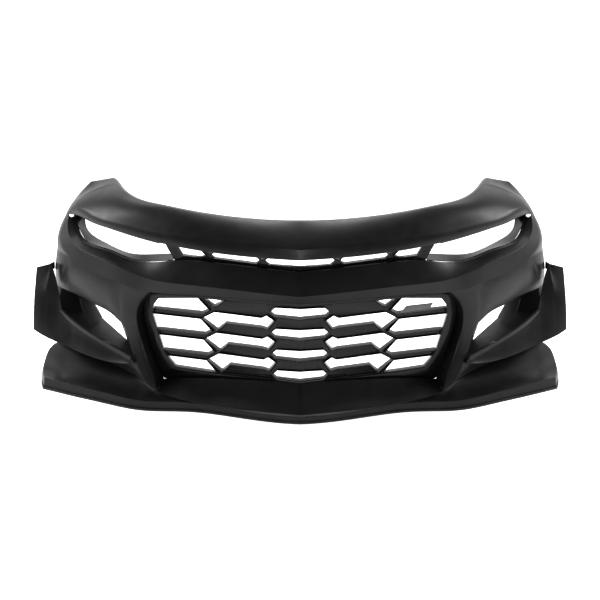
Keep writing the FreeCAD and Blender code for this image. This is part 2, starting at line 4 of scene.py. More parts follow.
import bmesh
import bpy
import numpy as np
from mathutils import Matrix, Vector


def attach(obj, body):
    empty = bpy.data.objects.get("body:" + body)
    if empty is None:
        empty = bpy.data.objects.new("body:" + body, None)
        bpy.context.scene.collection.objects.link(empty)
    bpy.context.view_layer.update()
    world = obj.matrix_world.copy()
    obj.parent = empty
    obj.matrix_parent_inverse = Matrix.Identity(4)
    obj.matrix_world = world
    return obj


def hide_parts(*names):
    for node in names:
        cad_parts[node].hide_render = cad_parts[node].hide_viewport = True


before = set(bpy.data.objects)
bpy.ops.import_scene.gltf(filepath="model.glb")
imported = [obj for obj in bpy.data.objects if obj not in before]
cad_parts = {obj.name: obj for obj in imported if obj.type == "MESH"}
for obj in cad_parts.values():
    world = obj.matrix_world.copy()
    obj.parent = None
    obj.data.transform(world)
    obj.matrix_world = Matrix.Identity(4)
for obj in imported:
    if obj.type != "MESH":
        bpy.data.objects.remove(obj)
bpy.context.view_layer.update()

# Metres in a millimetre, and millimetres in a metre
MM = 0.001
IN_MM = 1000
# Depth of the cover, in mm: the style data counts y from the nose, the frame from the middle
DEPTH = 660.0
# Steps kept along each style line
SAMPLES = 160
# Longest cell of the large quilts and of the paired pieces, in mm
CELL = 17.0
PAIR_CELL = 12.0
# Rounds of subdivision over a quilt
SUBDIVISIONS = 2
# Edges that turn more than this are shaded sharp, in degrees
SKIN_SHARP = 38
PLATE_SHARP = 50

# How far from a style line the panels start to turn, by the line's letter, in mm
TURN = {
    "h": 3.5, "n": 4.0, "w": 5.0, "t": 2.5, "b": 2.5, "m": 3.5, "l": 3.5, "e": 4.0, "p": 5.0,
    "f": 3.0, "g": 3.0, "c": 3.0, "s": 4.0, "r": 4.0, "v": 4.0, "d": 5.0, "x": 3.0, "a": 2.5,
    "j": 2.5, "k": 2.5, "i": 2.5, "o": 2.5,
}

# Corners of the cover's quilt of panels, in mm. The halves mirror each other in x = 0
COVER_CORNERS = {
    "h0": (0, 170, 670),
    "h1": (655, 540, 708),
    "h2": (689, 640, 710),
    "n0": (0, 70, 596),
    "n1": (814, 550, 644),
    "wo": (773, 660, 691),
    "t0": (0, 60, 562),
    "e3": (846, 561, 592),
    "b0": (0, 90, 512),
    "b1": (480, 258, 498),
    "b2": (606, 332, 489),
    "b3": (778, 462, 513),
    "e1": (835, 555, 582),
    "m0": (0, 40, 440),
    "m1": (501, 230, 441),
    "m2": (620, 294, 463),
    "m3": (783, 425, 496),
    "e2": (843, 559, 587),
    "l0": (0, 60, 409),
    "l1": (524, 243, 394),
    "l2": (624, 290, 409),
    "l3": (831, 460, 459),
    "p1": (576, 276, 272),
    "p2": (502, 180, 50),
    "f1": (631, 303, 259),
    "g1": (880, 524, 322),
    "r3": (912, 600, 335),
    "c0": (588, 262, 143),
    "g2": (877, 484, 252),
    "r4": (914, 596, 268),
    "s1": (842, 482, 97),
    "r5": (915, 580, 103),
    "r1": (872, 628, 560),
    "r2": (903, 608, 450),
}

# Style lines of the cover: each runs through named corners and the points between them
COVER_LINES = (
    (
        "h0", (217, 214, 670), (406, 280, 682), (485, 320, 688), (566, 380, 692), (620, 450, 702),
        "h1", "h2",
    ),
    (
        "n0", (126, 98, 602), (288, 156, 606), (424, 213, 608), (553, 285, 616), (682, 375, 631),
        (745, 437, 637), "n1", (794, 592, 658), "wo",
    ),
    (
        "t0", (154, 97, 562), (349, 170, 566), (468, 228, 573), (590, 302, 585), (683, 368, 596),
        (744, 428, 599), (805, 510, 600), "e3",
    ),
    (
        "b0", (196, 150, 517), (342, 200, 518), (431, 235, 511), "b1", (540, 292, 487), "b2",
        (689, 392, 503), "b3", (806, 500, 532), (824, 536, 562), "e1",
    ),
    (
        "m0", (196, 106, 441), (338, 160, 441), (445, 205, 439), "m1", (560, 260, 450), "m2",
        (700, 350, 483), "m3", (828, 478, 518), (846, 523, 552), "e2",
    ),
    (
        "l0", (238, 140, 403), (430, 209, 398), "l1", (563, 257, 397), "l2", (685, 332, 417),
        (772, 400, 436), "l3", (858, 500, 490), (864, 528, 525), (857, 548, 560), "e3",
    ),
    ("l1", (552, 262, 362), (571, 273, 325), "p1", (560, 265, 205), (531, 230, 125), "p2"),
    ("p1", "f1", (664, 330, 280), (742, 395, 301), (822, 468, 317), "g1", "r3"),
    ("f1", (603, 282, 193), "c0", "p2"),
    ("c0", (672, 320, 168), (757, 384, 196), "g2", "r4"),
    ("p2", (579, 260, 75), (696, 360, 89), "s1", "r5"),
    (
        "wo", (815, 650, 650), (848, 640, 606), "r1", (891, 617, 507), "r2", (909, 602, 390), "r3",
        "r4", (916, 588, 180), "r5",
    ),
    ("n0", (0, 116, 635), "h0"),
    ("n1", (735, 547, 686), "h1"),
    ("e3", (833, 555, 621), "n1"),
    ("e3", (862, 598, 580), "r1"),
    ("l3", (880, 535, 458), "r2"),
    ("l3", (862, 490, 392), "g1"),
    ("l2", (637, 299, 335), "f1"),
    ("g1", (884, 506, 286), "g2"),
    ("g2", (868, 492, 175), "s1"),
)

# Panels of the cover, each by its four corners, with how far its middle stands out
COVER_QUADS = (
    ("n0", "n1", "h1", "h0", 3.0),
    ("n1", "wo", "h2", "h1", 3.0),
    ("t0", "e3", "n1", "n0", 2.0),
    ("m0", "m1", "b1", "b0", 0.0),
    ("m1", "m2", "b2", "b1", 0.0),
    ("m2", "m3", "b3", "b2", 0.0),
    ("m3", "e2", "e1", "b3", 0.0),
    ("l0", "l1", "m1", "m0", 0.0),
    ("l1", "l2", "m2", "m1", 0.0),
    ("l2", "l3", "m3", "m2", 0.0),
    ("l3", "e3", "e2", "m3", 0.0),
    ("e3", "r1", "wo", "n1", 3.0),
    ("l3", "r2", "r1", "e3", 3.0),
    ("p1", "f1", "l2", "l1", 2.0),
    ("f1", "g1", "l3", "l2", 5.0),
    ("g1", "r3", "r2", "l3", 3.0),
    ("p2", "c0", "f1", "p1", 3.0),
    ("g2", "r4", "r3", "g1", 0.0),
    ("p2", "s1", "g2", "c0", -4.0),
    ("s1", "r5", "r4", "g2", 0.0),
)

# Flanges of the cover: the corners an edge runs through, and how far it turns in at each
COVER_FLANGES = (
    (("h0", (0, 26, -5)), ("h1", (-4, 26, -5)), ("h2", (-6, 16, -5))),
    (("t0", (0, 26, 5)), ("e3", (-6, 20, 3))),
    (
        ("b0", (0, 12, -1)),
        ("b1", (0, 12, -1)),
        ("b2", (0, 18, 0)),
        ("b3", (-6, 18, 2)),
        ("e1", (-12, 16, 2)),
    ),
    # Deeper than the CAD's from l1 to p2, so that it meets the grille frame seen from the front
    (("l0", (0, 34, -3)), ("l1", (-16, 50, -6)), ("p1", (-26, 57, 0)), ("p2", (-16, 108, 4))),
    (("p2", (-15, 104, 6)), ("s1", (-14, 14, 4)), ("r5", (-18, -4, 4))),
)

# Chin panel, from the splitter up to the lower grille. Its outer edge is wider than the CAD's
CHIN_CORNERS = {
    "v0": (0, 12, 29),
    "v1": (500, 180, 48),
    "v2": (495, 276, 60),
    "v3": (0, 110, 109),
}
CHIN_LINES = (
    ("v0", (200, 60, 31), (392, 124, 36), (440, 144, 40), "v1"),
    ("v3", (245, 188, 95), (400, 241, 77), "v2"),
)
CHIN_QUADS = (("v0", "v1", "v2", "v3", -4.0),)
CHIN_FLANGES = ((("v3", (0, 2, -14)), ("v2", (0, 6, -12))),)

# Splitter deck: a lip in front, and a scoop on each side that rises to the cover
DECK_CORNERS = {
    "g0": (0, 4, 8.4),
    "g1": (392, 116, 8.4),
    "g2": (928, 332, 8.4),
    "x2": (905, 604, 10.5),
    "f0": (0, 6, 25),
    "f1": (392, 119, 31),
    "f2": (926, 336, 42),
    "d0": (0, 110, 24),
    "d1": (490, 190, 45),
    "d2": (898, 574, 99),
}
DECK_LINES = (
    (
        "g0", (200, 56, 8.4), "g1", (487, 121, 8.4), (540, 127, 8.4), (688, 194, 8.4),
        (808, 260, 8.4), "g2",
    ),
    (
        "f0", (200, 58, 27), "f1", (487, 124, 33), (540, 130, 33), (686, 198, 36), (806, 264, 39),
        "f2",
    ),
    ("d1", (571, 270, 71), (688, 374, 85), (834, 496, 92), "d2"),
    ("d0", (240, 150, 26), "d1"),
    ("f2", (941, 400, 48), (944, 470, 66), (932, 535, 90), "d2"),
    ("g2", (946, 400, 9), (950, 480, 9.5), (938, 550, 10), "x2"),
)
DECK_QUADS = (
    ("g0", "g1", "f1", "f0", 0.0),
    ("g1", "g2", "f2", "f1", 0.0),
    ("f0", "f1", "d1", "d0", 0.0),
    ("f1", "f2", "d2", "d1", -14.0),
    ("g2", "x2", "d2", "f2", 4.0),
)
DECK_FLANGES = ((("g0", (0, 30, 0)), ("g1", (-6, 30, 0)), ("g2", (-26, 22, 0))),)

# Canard, on the right
CANARD_CORNERS = {
    "tl": (592, 253, 148),
    "tm": (872, 474, 259),
    "tk": (915, 547, 408),
    "to": (961, 520, 401),
    "bl": (587, 246, 130),
    "bm": (868, 425, 137),
    "bk": (932, 465, 150),
    "bo": (984, 498, 169),
}
CANARD_LINES = (
    ("tl", (672, 316, 173), (757, 378, 201), "tm"),
    ("tm", (887, 507, 315), (899, 530, 366), "tk"),
    ("bl", (677, 298, 116), (780, 362, 122), "bm", "bk", "bo"),
    ("bk", (929, 506, 288), "tk"),
    ("bo", (978, 512, 280), "to"),
)
CANARD_QUADS = (
    ("bl", "bm", "tm", "tl", -4.0),
    ("bm", "bk", "tk", "tm", 0.0),
    ("bk", "bo", "to", "tk", 0.0),
)
CANARD_STANDOFF = (2.6, -1.8, 0)
CANARD_FLANGES = ((("tl", (4, 2, -12)), ("tm", (0, 3, -16))),)

# Duct liner behind the side opening, on the right
DUCT_CORNERS = {
    "a": (628, 308, 257),
    "b": (879, 525, 321),
    "c": (876, 486, 251),
    "d": (587, 269, 142),
    "ar": (660, 425, 250),
    "br": (800, 600, 300),
    "cr": (742, 520, 214),
    "dr": (628, 392, 166),
}
DUCT_LINES = (
    ("a", (661, 335, 278), (739, 400, 299), (819, 473, 315), "b"),
    ("d", (669, 326, 166), (754, 390, 194), "c"),
    ("a", (600, 288, 193), "d"),
    ("c", (885, 507, 286), "b"),
    ("ar", "br"),
    ("dr", "cr"),
)
DUCT_QUADS = (
    ("b", "a", "ar", "br", 0.0),
    ("d", "c", "cr", "dr", 0.0),
    ("c", "b", "br", "cr", -3.0),
    ("a", "d", "dr", "ar", 0.0),
)
VANE_CORNERS = {
    "vb": (762, 420, 215),
    "vt": (806, 480, 295),
    "wb": (728, 490, 219),
    "wt": (782, 556, 289),
}
VANE_LINES = (("vb", (790, 450, 256), "vt"), ("wb", (756, 524, 254), "wt"))
VANE_QUADS = (("vb", "vt", "wt", "wb", 0.0),)

# Headlamp bezel, on the right
BEZEL_CORNERS = {
    "j0": (438, 249, 510),
    "j1": (824, 570, 576),
    "i1": (830, 584, 587),
    "i0": (484, 254, 566),
    "k0": (438, 300, 518),
    "k1": (792, 604, 560),
    "o1": (796, 608, 572),
    "o0": (484, 304, 560),
}
BEZEL_LINES = (
    (
        "j0", (484, 271, 500), (540, 302, 490), (606, 344, 492), (689, 404, 507), (772, 478, 518),
        (796, 516, 540), "j1",
    ),
    (
        "k0", (486, 328, 509), (548, 352, 500), (604, 387, 495), (668, 440, 503), (722, 500, 511),
        (770, 552, 527), "k1",
    ),
    ("i0", (590, 318, 577), (683, 384, 588), (744, 446, 591), (796, 528, 592), "i1"),
    ("o0", (590, 362, 569), (683, 430, 578), (744, 492, 582), "o1"),
)
BEZEL_QUADS = (
    ("j0", "j1", "k1", "k0", 0.0),
    ("i1", "i0", "o0", "o1", 0.0),
    ("j1", "i1", "o1", "k1", 0.0),
)

# How crisp the lines between corners of these letters are, from 0 to 1
CREASES = {
    ("n", "n"): 0.95, ("n", "w"): 0.6, ("m", "m"): 0.95, ("m", "e"): 0.6, ("l", "l"): 0.95,
    ("p", "p"): 0.9, ("l", "p"): 0.9, ("f", "f"): 0.95, ("b", "b"): 0.9, ("t", "e"): 0.9,
    ("b", "e"): 0.9, ("d", "d"): 0.6, ("b", "t"): 0.9, ("g", "g"): 0.9,
}


def place_key(point):
    """A place in mm, rounded to tenths, to tell whether two places are the same."""
    return tuple(int(round(value * 10)) for value in point)


def at(x, y, z):
    """A point of the style data in the row frame, in mm."""
    return np.array((x, y - DEPTH / 2, z), float)


def end_slope(t, p):
    """The slope at p[0] of the polynomial through the first points, four at most."""
    t, p = t[:4], p[:4]
    slope = np.zeros(3)
    for i in range(len(t)):
        weight = 0.0
        for k in range(len(t)):
            if k == i:
                continue
            term = 1.0 / (t[i] - t[k])
            for j in range(len(t)):
                if j not in (i, k):
                    term *= (t[0] - t[j]) / (t[i] - t[j])
            weight += term
        slope += weight * p[i]
    return slope


def smooth_curve(points):
    """The smooth curve through points: a function of the distance along their chords."""
    p = np.array(points)
    t = np.concatenate(([0.0], np.cumsum(np.linalg.norm(np.diff(p, axis=0), axis=1))))
    count = len(p)
    if count == 2:
        return t, lambda s: p[0] + (p[1] - p[0]) * (np.atleast_1d(s) / t[1])[:, None]
    h = np.diff(t)
    system = np.zeros((count, count))
    right = np.zeros((count, 3))
    system[0, 0] = system[-1, -1] = 1
    right[0] = end_slope(t, p)
    right[-1] = end_slope(t[::-1], p[::-1])
    for i in range(1, count - 1):
        system[i, i - 1 : i + 2] = (h[i], 2 * (h[i - 1] + h[i]), h[i - 1])
        before = (p[i] - p[i - 1]) / h[i - 1] * h[i]
        after = (p[i + 1] - p[i]) / h[i] * h[i - 1]
        right[i] = 3 * (before + after)
    slopes = np.linalg.solve(system, right)

    def value(s):
        s = np.atleast_1d(s)
        k = np.clip(np.searchsorted(t, s, side="right") - 1, 0, count - 2)
        w = ((s - t[k]) / h[k])[:, None]
        step = h[k][:, None]
        start = p[k] * (1 + 2 * w) * (1 - w) ** 2 + slopes[k] * step * w * (1 - w) ** 2
        end = p[k + 1] * w**2 * (3 - 2 * w) + slopes[k + 1] * step * w**2 * (w - 1)
        return start + end

    return t, value


def evenly(points):
    """The same path at SAMPLES even steps of its length."""
    path = np.concatenate(([0.0], np.cumsum(np.linalg.norm(np.diff(points, axis=0), axis=1))))
    steps = np.linspace(0, path[-1], SAMPLES + 1)
    return np.stack([np.interp(steps, path, points[:, i]) for i in range(3)], axis=1)


class Quilt:
    """Panels over a net of named style lines."""

    def __init__(self, corners, chains, quads, flanges=(), mirrored=True, cell=CELL):
        self.cell = cell
        self.lines = {}
        self.turns = {}
        self.quads = list(quads)
        self.mirrored = mirrored
        self.corners = {name: at(*place) for name, place in corners.items()}
        for chain in chains:
            self.add_chain(corners, chain)
        for flange in flanges:
            self.add_flange(flange)

    def add_chain(self, corners, chain):
        """Run a smooth line through a chain of corners and places, and split it at the corners."""
        t, value = smooth_curve([at(*corners.get(step, step)) for step in chain])
        marks = [(step, stop) for step, stop in zip(chain, t) if step in corners]
        for i, ((a, start), (b, end)) in enumerate(zip(marks, marks[1:])):
            self.lines[a, b] = evenly(value(np.linspace(start, end, 4 * SAMPLES)))
            first = self.turn_at(a) if i == 0 and chain[0] == a else None
            last = self.turn_at(b) if i == len(marks) - 2 and chain[-1] == b else None
            self.turns[a, b] = (first, last)

    def turn_at(self, name):
        """How near a corner the last support row lies, or None where the halves join."""
        if self.mirrored and abs(self.corners[name][0]) < 0.01:
            return None
        return TURN[name[0]]

    def add_flange(self, flange):
        """Turn the edge between these corners inwards, by the shift given at each."""
        edges = {(quad[i], quad[(i + 1) % 4]) for quad in self.quads for i in range(4)}
        share = np.linspace(0, 1, SAMPLES + 1)[:, None]
        for (a, turn_a), (b, turn_b) in zip(flange, flange[1:]):
            turned = np.array(turn_a) * (1 - share) + np.array(turn_b) * share
            points, turns = self.line(a, b)
            self.lines[a + "_in", b + "_in"] = points + turned
            self.turns[a + "_in", b + "_in"] = turns
            for name, shift in ((a, turn_a), (b, turn_b)):
                start = self.corners[name]
                inner = start + np.array(shift, float)
                self.corners[name + "_in"] = inner
                self.lines[name, name + "_in"] = start + (inner - start) * share
                self.turns[name, name + "_in"] = (TURN[name[0]], None)
            if (a, b) in edges:
                self.quads.append((b, a, a + "_in", b + "_in", 0.0))
            else:
                self.quads.append((a, b, b + "_in", a + "_in", 0.0))

    def key(self, a, b):
        """The name a line is kept under, whichever way it is asked for."""
        return (b, a) if (b, a) in self.lines else (a, b)

    def line(self, a, b):
        """(points, turns) in the direction asked for. Corners with no line get a straight one."""
        if (b, a) in self.lines:
            return self.lines[b, a][::-1], self.turns[b, a][::-1]
        if (a, b) not in self.lines:
            start, end = self.corners[a], self.corners[b]
            ramp = np.linspace(0, 1, SAMPLES + 1)[:, None]
            self.lines[a, b] = start + (end - start) * ramp
            self.turns[a, b] = (self.turn_at(a), self.turn_at(b))
        return self.lines[a, b], self.turns[a, b]

    def edges(self, quad):
        """The four edges of a panel: south, east, north and west."""
        a, b, c, d = quad[:4]
        return ((a, b), (b, c), (d, c), (a, d))

    def counts(self):
        """How many cells each line has, the same for lines across a panel from each other."""
        leader = {}

        def find(name):
            while leader.setdefault(name, name) != name:
                name = leader[name]
            return name

        for quad in self.quads:
            south, east, north, west = [self.key(*edge) for edge in self.edges(quad)]
            for edge in self.edges(quad):
                self.line(*edge)
            leader[find(south)] = find(north)
            leader[find(east)] = find(west)
        most = {}
        for name in list(leader):
            points = self.lines[name]
            length = np.linalg.norm(np.diff(points, axis=0), axis=1).sum()
            need = max(3, math.ceil(length / self.cell) + 1)
            most[find(name)] = max(need, most.get(find(name), 0))
        return {name: most[find(name)] for name in leader}

    def marks(self, a, b, count):
        """Where along a line its cells end, closer together beside a crease."""
        points, (first, last) = self.line(a, b)
        length = max(np.linalg.norm(np.diff(points, axis=0), axis=1).sum(), 0.01)
        start = 1 / count if first is None else min(first / length, 0.3, 1 / count)
        end = 1 / count if last is None else min(last / length, 0.3, 1 / count)
        middle = np.linspace(start, 1 - end, count - 1)
        return np.concatenate(([0.0], middle, [1.0]))

    def panel(self, quad, counts):
        """A grid of points over one panel."""
        names = self.edges(quad)
        paths = [self.line(*edge)[0] for edge in names]
        marks = [self.marks(*edge, counts[self.key(*edge)]) for edge in names]
        steps = np.linspace(0, 1, SAMPLES + 1)

        def along(path, t):
            return np.stack([np.interp(t, steps, path[:, i]) for i in range(3)], axis=-1)

        south, east, north, west = marks
        u = np.repeat(((south + north) / 2)[:, None], len(west), axis=1)
        v = np.repeat(((west + east) / 2)[None, :], len(south), axis=0)
        for _ in range(6):
            u = (1 - v) * south[:, None] + v * north[:, None]
            v = (1 - u) * west[None, :] + u * east[None, :]
        low, high = along(paths[0], south)[:, None], along(paths[2], north)[:, None]
        left, right = along(paths[3], west)[None], along(paths[1], east)[None]
        u, v = u[..., None], v[..., None]
        # The surface between four edges, less the flat share of its corners that it counts twice
        a, b, c, d = paths[0][0], paths[0][-1], paths[2][-1], paths[2][0]
        flat = (1 - u) * (1 - v) * a + u * (1 - v) * b + u * v * c + (1 - u) * v * d
        grid = (1 - v) * low + v * high + (1 - u) * left + u * right - flat
        i, j = len(south) // 2, len(west) // 2
        normal = np.cross(grid[i + 1, j] - grid[i - 1, j], grid[i, j + 1] - grid[i, j - 1])
        normal /= max(np.linalg.norm(normal), 1e-9)
        bulge = quad[4] * 4 * v * (1 - v) * np.minimum(1, 8 * u * (1 - u))
        inside = np.zeros(grid.shape[:2] + (1,))
        inside[1:-1, 1:-1] = 1
        return grid + normal * bulge * inside

    def note_creases(self, quad, grid, crisp):
        """Note in crisp how sharp each cell edge along the panel's rims is, on both halves."""
        rims = (grid[:, 0], grid[-1, :], grid[:, -1], grid[0, :])
        for (a, b), rim in zip(self.edges(quad), rims):
            letters = (a[0], b[0])
            level = CREASES.get(letters, CREASES.get(letters[::-1], 0.0))
            if "_in" in a + b or not level:
                continue
            for start, end in zip(rim, rim[1:]):
                for side in (1, -1):
                    flip = np.array((side, 1, 1))
                    crisp[frozenset((place_key(start * flip), place_key(end * flip)))] = level

    def mesh(self, name):
        """One welded mesh of every panel, and of its reflection."""
        counts = self.counts()
        shape = bmesh.new()
        crisp = {}
        for quad in self.quads:
            grid = self.panel(quad, counts)
            self.note_creases(quad, grid, crisp)
            for side in (1, -1) if self.mirrored else (1,):
                flip = np.array((side, 1, 1)) * MM
                rows = [[shape.verts.new(point * flip) for point in row] for row in grid]
                for i in range(len(rows) - 1):
                    for j in range(len(rows[0]) - 1):
                        ring = [rows[i][j], rows[i + 1][j], rows[i + 1][j + 1], rows[i][j + 1]]
                        shape.faces.new(ring if side == 1 else ring[::-1])
        bmesh.ops.remove_doubles(shape, verts=shape.verts, dist=0.00005)
        bmesh.ops.dissolve_degenerate(shape, edges=shape.edges, dist=0.00002)
        layer = shape.edges.layers.float.new("crease_edge")
        for edge in shape.edges:
            ends = frozenset(place_key(vertex.co * IN_MM) for vertex in edge.verts)
            edge[layer] = crisp.get(ends, 0.0)
        mesh = bpy.data.meshes.new(name)
        shape.to_mesh(mesh)
        shape.free()
        return mesh


def show(name, mesh, shift=(0, 0, 0), flip=False):
    """Put a mesh in the scene, shifted by some mm and then mirrored if asked."""
    obj = bpy.data.objects.new(name, mesh)
    bpy.context.scene.collection.objects.link(obj)
    for vertex in mesh.vertices:
        vertex.co += Vector(shift) * MM
        if flip:
            vertex.co.x = -vertex.co.x
    if flip:
        mesh.flip_normals()
    return obj


def settle(obj, angle):
    """Apply the modifiers and shade smooth but for the sharp edges."""
    graph = bpy.context.evaluated_depsgraph_get()
    mesh = bpy.data.meshes.new_from_object(obj.evaluated_get(graph))
    obj.modifiers.clear()
    obj.data = mesh
    mesh.shade_smooth()
    mesh.set_sharp_from_angle(angle=math.radians(angle))


def round_off(obj, width, segments, angle):
    """Round the edges that turn more than the angle, by a width in mm."""
    rim = obj.modifiers.new("rim", "BEVEL")
    rim.width = width * MM
    rim.segments = segments
    rim.limit_method = "ANGLE"
    rim.angle_limit = math.radians(angle)


def moulded(obj, wall, round_mm=0.5):
    """Smooth the panels, give them their wall towards the inside and soften its rims."""
    smooth = obj.modifiers.new("smooth", "SUBSURF")
    smooth.levels = smooth.render_levels = SUBDIVISIONS
    smooth.boundary_smooth = "PRESERVE_CORNERS"
    shell = obj.modifiers.new("wall", "SOLIDIFY")
    shell.thickness = wall * MM
    shell.offset = -1
    round_off(obj, round_mm, 2, 55)
    settle(obj, SKIN_SHARP)


def softened(node, width, recess=None):
    """A CAD piece with its flat faces made whole and its edges rounded.

    A recess (slope, depth) hollows the front: its sides slope in from the rims, and its floor
    lies the depth behind them.
    """
    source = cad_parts[node]
    mesh = source.data.copy()
    mesh.transform(source.matrix_world)
    mesh.name = node + "_soft"
    shape = bmesh.new()
    shape.from_mesh(mesh)
    bmesh.ops.remove_doubles(shape, verts=shape.verts, dist=0.00001)
    if recess:
        slope, sunk = recess
        front = [face for face in shape.faces if face.normal.y < -0.92 and abs(face.normal.z) < 0.02]
        bmesh.ops.inset_region(
            shape, faces=front, thickness=slope * MM, depth=-sunk * MM, use_even_offset=True,
            use_boundary=True,
        )
    edges, verts = shape.edges[:], shape.verts[:]
    bmesh.ops.dissolve_limit(shape, angle_limit=math.radians(1), verts=verts, edges=edges)
    shape.to_mesh(mesh)
    shape.free()
    obj = bpy.data.objects.new(node + "_soft", mesh)
    bpy.context.scene.collection.objects.link(obj)
    round_off(obj, width, 3, 28)
    settle(obj, PLATE_SHARP)
    return obj


def paint_slot(obj, slot):
    """Put a piece in a slot, with that slot's material all over it."""
    obj.data.materials.clear()
    obj.data.materials.append(materials[slot])


def hand_in(obj, slot, node):
    """Let a piece stand in for a CAD node, riding on the one body."""
    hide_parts(node)
    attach(obj, "root")
    paint_slot(obj, slot)


# Most dust on what faces up, as a share, and the height of the moulding's slow wave, in metres
DUST = 0.05
WAVE = 0.00025


def link(tree, start, end):
    """Join the output of one node to the input of another."""
    tree.links.new(start, end)


def noise(tree, coordinates, scale, detail=3.0, rough=0.5):
    """A noise value over the surface."""
    node = tree.nodes.new("ShaderNodeTexNoise")
    node.inputs["Scale"].default_value = scale
    node.inputs["Detail"].default_value = detail
    node.inputs["Roughness"].default_value = rough
    link(tree, coordinates, node.inputs["Vector"])
    return node.outputs["Fac"]


def spread(tree, value, low, high, from_low=0.3, from_high=0.7):
    """A value between two limits stretched to run from low to high."""
    node = tree.nodes.new("ShaderNodeMapRange")
    node.inputs["From Min"].default_value = from_low
    node.inputs["From Max"].default_value = from_high
    node.inputs["To Min"].default_value = low
    node.inputs["To Max"].default_value = high
    link(tree, value, node.inputs["Value"])
    return node.outputs["Result"]


def mixed(tree, fraction, first, second):
    """Two colours mixed: each is a triple or the output of another node."""
    node = tree.nodes.new("ShaderNodeMix")
    node.data_type = "RGBA"
    for socket, value in ((node.inputs[6], first), (node.inputs[7], second)):
        if isinstance(value, tuple):
            socket.default_value = (*value, 1)
        else:
            link(tree, value, socket)
    link(tree, fraction, node.inputs[0])
    return node.outputs[2]


def surface(name, tone, paler_tone, rough, grain, grain_depth, metal=0.0):
    """A moulded or plated surface: two close tones, uneven gloss, grain, a painted highlight along
    the edges, some dust.
    """
    material = bpy.data.materials.new(name)
    material.use_nodes = True
    tree = material.node_tree
    shader = tree.nodes["Principled BSDF"]
    place = tree.nodes.new("ShaderNodeTexCoord").outputs["Object"]
    shader.inputs["Metallic"].default_value = metal
    shader.inputs["Specular IOR Level"].default_value = 0.32 if metal < 0.5 else 0.5
    rounded = tree.nodes.new("ShaderNodeBevel")
    rounded.samples = 4
    rounded.inputs["Radius"].default_value = 2 * MM

    # Two close tones, and a painted highlight: a paler tone along every edge, convex or concave,
    # where the rounded normal turns from the face's own
    blotch = spread(tree, noise(tree, place, 9.0, 5.0, 0.6), 0.0, 1.0)
    body = mixed(tree, blotch, tone, paler_tone)
    normal = tree.nodes.new("ShaderNodeNewGeometry").outputs["Normal"]
    along = tree.nodes.new("ShaderNodeVectorMath")
    along.operation = "DOT_PRODUCT"
    link(tree, rounded.outputs["Normal"], along.inputs[0])
    link(tree, normal, along.inputs[1])
    # Painted highlight: up to 0.55 of a much lighter tone where the bevelled normal leaves the face
    # normal
    edge = spread(tree, along.outputs["Value"], 0.55, 0.0, 0.88, 0.99)
    highlight_tone = tuple(min(1.0, channel * 3.0 + 0.05) for channel in paler_tone)
    body = mixed(tree, edge, body, highlight_tone)

    # Specks of dust on what faces up
    split = tree.nodes.new("ShaderNodeSeparateXYZ")
    link(tree, normal, split.inputs[0])
    up = spread(tree, split.outputs["Z"], 0.0, DUST, 0.35, 1.0)
    specks = spread(tree, noise(tree, place, 260.0, 6.0, 0.7), 0.2, 1.0, 0.45, 0.75)
    cover = tree.nodes.new("ShaderNodeMath")
    cover.operation = "MULTIPLY"
    link(tree, up, cover.inputs[0])
    link(tree, specks, cover.inputs[1])
    dusty = tuple(min(1.0, channel * 2.2 + 0.035) for channel in paler_tone)
    link(tree, mixed(tree, cover.outputs[0], body, dusty), shader.inputs["Base Color"])

    # Uneven gloss, a slow wave and a fine grain
    gloss = spread(tree, noise(tree, place, 22.0, 6.0, 0.65), rough - 0.05, rough + 0.07)
    link(tree, gloss, shader.inputs["Roughness"])
    slow = tree.nodes.new("ShaderNodeBump")
    slow.inputs["Strength"].default_value = 0.35
    slow.inputs["Distance"].default_value = WAVE
    link(tree, noise(tree, place, 11.0, 2.0), slow.inputs["Height"])
    link(tree, rounded.outputs["Normal"], slow.inputs["Normal"])
    fine = tree.nodes.new("ShaderNodeBump")
    fine.inputs["Strength"].default_value = 0.5
    fine.inputs["Distance"].default_value = grain_depth
    link(tree, noise(tree, place, grain, 3.0, 0.6), fine.inputs["Height"])
    link(tree, slow.outputs["Normal"], fine.inputs["Normal"])
    link(tree, fine.outputs["Normal"], shader.inputs["Normal"])
    return material


# Each slot's material: its two tones, roughness, grain scale, grain depth and how metallic it is
materials = {
    "cover_black": surface(
        "cover_black", (0.007, 0.007, 0.0073), (0.011, 0.011, 0.0115), 0.34, 700.0, 0.00005
    ),
    "trim_black": surface(
        "trim_black", (0.006, 0.006, 0.0063), (0.009, 0.009, 0.0094), 0.24, 500.0, 0.00004
    ),
    "liner_black": surface(
        "liner_black", (0.008, 0.008, 0.0083), (0.013, 0.013, 0.0135), 0.45, 400.0, 0.0001
    ),
    "badge_grey": surface(
        "badge_grey", (0.10, 0.10, 0.105), (0.15, 0.15, 0.155), 0.32, 600.0, 0.00003
    ),
    "steel_black": surface(
        "steel_black", (0.025, 0.025, 0.027), (0.04, 0.04, 0.042), 0.42, 800.0, 0.00005, 0.3
    ),
    "steel_zinc": surface(
        "steel_zinc", (0.42, 0.43, 0.44), (0.55, 0.55, 0.54), 0.3, 500.0, 0.00003, 1.0
    ),
}


# The cover, the chin panel and the splitter's deck, with their walls in mm
SKINS = (
    ("fascia_skin", "fascia", COVER_CORNERS, COVER_LINES, COVER_QUADS, COVER_FLANGES, 3.2),
    ("chin_skin", "chin_panel", CHIN_CORNERS, CHIN_LINES, CHIN_QUADS, CHIN_FLANGES, 3.0),
    ("deck_skin", "splitter_deck", DECK_CORNERS, DECK_LINES, DECK_QUADS, DECK_FLANGES, 3.5),
)
for name, node, corners, chains, quads, flanges, wall in SKINS:
    piece = show(name, Quilt(corners, chains, quads, flanges).mesh(name))
    moulded(piece, wall)
    hand_in(piece, "cover_black", node)

